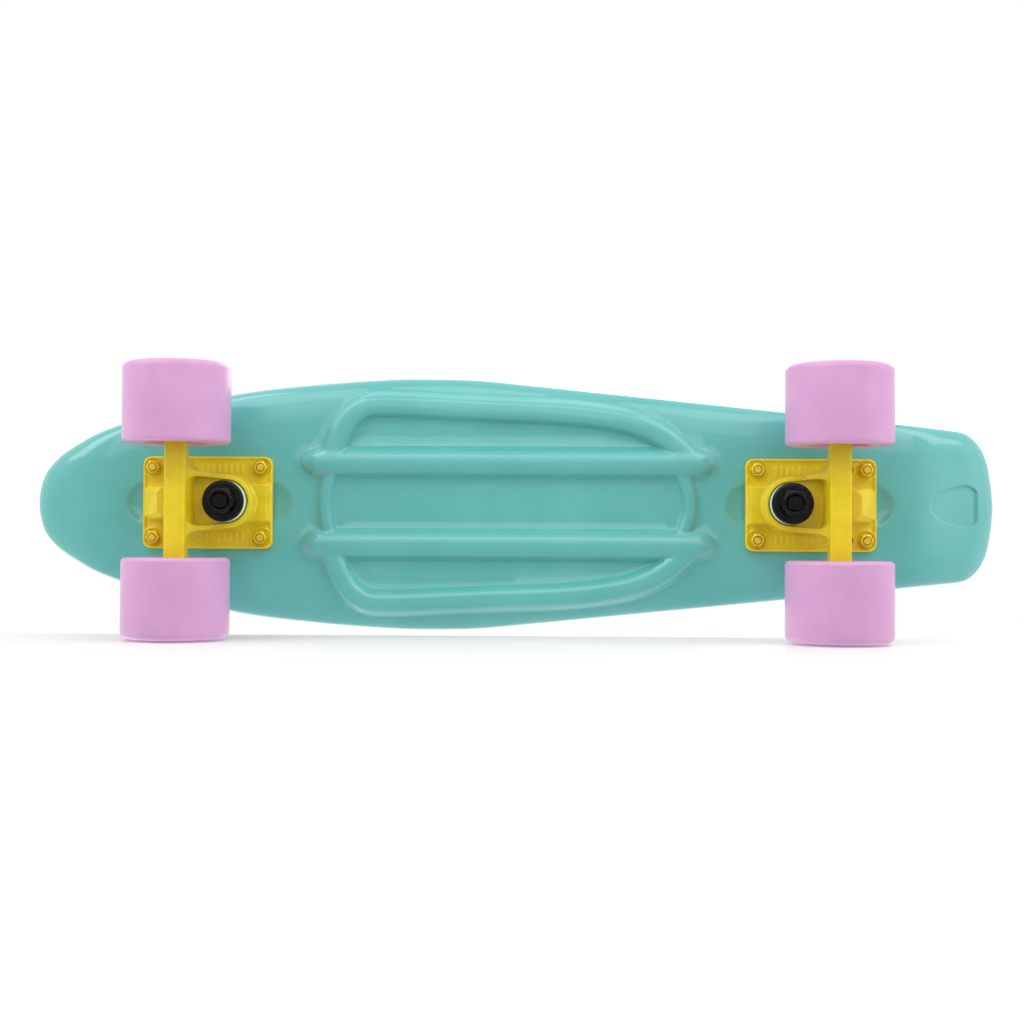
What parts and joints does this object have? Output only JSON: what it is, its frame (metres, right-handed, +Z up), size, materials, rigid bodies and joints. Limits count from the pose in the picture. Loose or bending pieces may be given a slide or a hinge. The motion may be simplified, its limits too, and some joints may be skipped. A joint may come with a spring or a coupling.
{
  "type": "cruiser skateboard",
  "caption": "Short plastic cruiser skateboard: ribbed moulded deck with a kick tail, kingpin steering trucks on soft bushings, and wide soft wheels on ball bearings.",
  "frame": {"origin": "on the ground under the middle of the board's bounding box, standing on its wheels", "axes": "+X towards the nose, +Y to the left of a rider who faces the nose, +Z up through the deck"},
  "size_m": [0.5746, 0.154, 0.1073],
  "materials": {
    "deck_plastic": "glossy teal injection-moulded polypropylene",
    "truck_paint": "glossy yellow paint over cast aluminium",
    "wheel_urethane": "smooth lilac-pink cast polyurethane",
    "bushing_urethane": "satin pale mint polyurethane",
    "black_oxide": "oiled black oxide on steel",
    "yellow_zinc": "yellow-passivated zinc on steel",
    "plain_steel": "bright plain steel"
  },
  "bodies": {
    "deck": {"deck": "deck_plastic", "front_baseplate": "truck_paint", "front_pivot_cup": "bushing_urethane", "front_kingpin": "black_oxide", "front_kingpin_nut": "black_oxide", "front_boardside_washer": "black_oxide", "front_boardside_bushing": "bushing_urethane", "front_roadside_bushing": "bushing_urethane", "front_roadside_washer": "black_oxide", "front_mount_bolt_1": "yellow_zinc", "front_mount_bolt_2": "yellow_zinc", "front_mount_bolt_3": "yellow_zinc", "front_mount_bolt_4": "yellow_zinc", "front_mount_nut_1": "yellow_zinc", "front_mount_nut_2": "yellow_zinc", "front_mount_nut_3": "yellow_zinc", "front_mount_nut_4": "yellow_zinc", "rear_baseplate": "truck_paint", "rear_pivot_cup": "bushing_urethane", "rear_kingpin": "black_oxide", "rear_kingpin_nut": "black_oxide", "rear_boardside_washer": "black_oxide", "rear_boardside_bushing": "bushing_urethane", "rear_roadside_bushing": "bushing_urethane", "rear_roadside_washer": "black_oxide", "rear_mount_bolt_1": "yellow_zinc", "rear_mount_bolt_2": "yellow_zinc", "rear_mount_bolt_3": "yellow_zinc", "rear_mount_bolt_4": "yellow_zinc", "rear_mount_nut_1": "yellow_zinc", "rear_mount_nut_2": "yellow_zinc", "rear_mount_nut_3": "yellow_zinc", "rear_mount_nut_4": "yellow_zinc"},
    "front_hanger": {"front_hanger": "truck_paint", "front_axle": "plain_steel", "front_left_bearing_spacer": "plain_steel", "front_right_bearing_spacer": "plain_steel", "front_left_axle_nut": "plain_steel", "front_right_axle_nut": "plain_steel"},
    "front_left_wheel": {"front_left_wheel": "wheel_urethane", "front_left_inner_bearing": "plain_steel", "front_left_outer_bearing": "plain_steel"},
    "front_right_wheel": {"front_right_wheel": "wheel_urethane", "front_right_inner_bearing": "plain_steel", "front_right_outer_bearing": "plain_steel"},
    "rear_hanger": {"rear_hanger": "truck_paint", "rear_axle": "plain_steel", "rear_left_bearing_spacer": "plain_steel", "rear_right_bearing_spacer": "plain_steel", "rear_left_axle_nut": "plain_steel", "rear_right_axle_nut": "plain_steel"},
    "rear_left_wheel": {"rear_left_wheel": "wheel_urethane", "rear_left_inner_bearing": "plain_steel", "rear_left_outer_bearing": "plain_steel"},
    "rear_right_wheel": {"rear_right_wheel": "wheel_urethane", "rear_right_inner_bearing": "plain_steel", "rear_right_outer_bearing": "plain_steel"}
  },
  "joints": [
    {"name": "front_steering", "type": "hinge", "parent": "deck", "child": "front_hanger", "pos_m": [0.2032, 0, 0.06825], "axis": [-0.9139, 0, -0.4059], "range_deg": [-12, 12], "stiffness_Nm_per_rad": 30, "deforming": ["front_boardside_bushing", "front_roadside_bushing"]},
    {"name": "front_left_wheel_spin", "type": "hinge", "parent": "front_hanger", "child": "front_left_wheel", "pos_m": [0.1893, 0.0545, 0.03], "axis": [0, 1, 0], "continuous": true},
    {"name": "front_right_wheel_spin", "type": "hinge", "parent": "front_hanger", "child": "front_right_wheel", "pos_m": [0.1893, -0.0545, 0.03], "axis": [0, 1, 0], "continuous": true},
    {"name": "rear_steering", "type": "hinge", "parent": "deck", "child": "rear_hanger", "pos_m": [-0.1952, 0, 0.06825], "axis": [0.9139, 0, -0.4059], "range_deg": [-12, 12], "stiffness_Nm_per_rad": 30, "deforming": ["rear_boardside_bushing", "rear_roadside_bushing"]},
    {"name": "rear_left_wheel_spin", "type": "hinge", "parent": "rear_hanger", "child": "rear_left_wheel", "pos_m": [-0.1813, 0.0545, 0.03], "axis": [0, 1, 0], "continuous": true},
    {"name": "rear_right_wheel_spin", "type": "hinge", "parent": "rear_hanger", "child": "rear_right_wheel", "pos_m": [-0.1813, -0.0545, 0.03], "axis": [0, 1, 0], "continuous": true}
  ]
}
